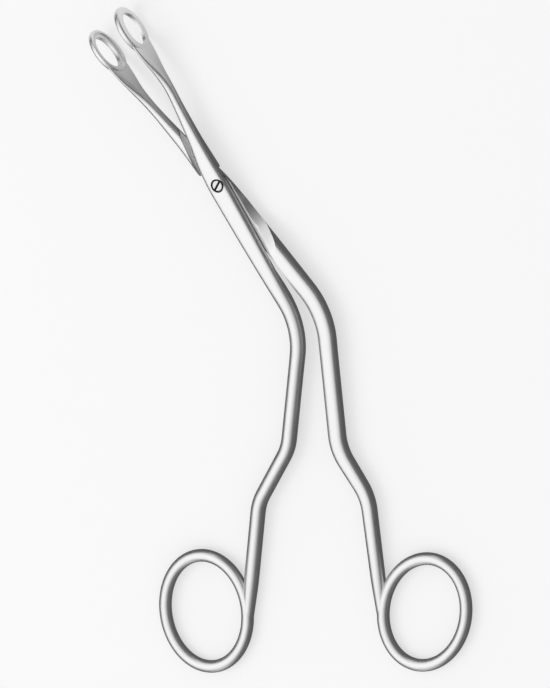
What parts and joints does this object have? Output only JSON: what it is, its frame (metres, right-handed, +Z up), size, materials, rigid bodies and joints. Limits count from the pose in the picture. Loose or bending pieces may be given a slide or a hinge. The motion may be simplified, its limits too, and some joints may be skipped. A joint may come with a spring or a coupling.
{
  "type": "septum compression forceps",
  "caption": "Ring-handled surgical forceps with slender crossed arms, oval fenestrated jaws dished on their inner faces, bent shanks and a slotted joint screw.",
  "frame": {"origin": "middle of the bounding box in plan, on the table plane that the forceps lie on", "axes": "+X from the finger rings towards the jaws, +Y towards the side that the handles bend to, +Z up from the table, close to the screw's axis"},
  "size_m": [0.2064, 0.109, 0.0113],
  "materials": {
    "front_arm_steel": "polished stainless steel",
    "rear_arm_steel": "polished stainless steel",
    "screw_steel": "satin stainless steel"
  },
  "bodies": {
    "rear": {"rear_arm": "rear_arm_steel", "joint_screw": "screw_steel"},
    "front": {"front_arm": "front_arm_steel"}
  },
  "joints": [
    {"name": "arm_hinge", "type": "hinge", "parent": "rear", "child": "front", "pos_m": [0.04577, -0.04752, 0.00476], "axis": [-0.0186, 0.0102, 0.9998], "range_deg": [-20, 4.5]}
  ]
}
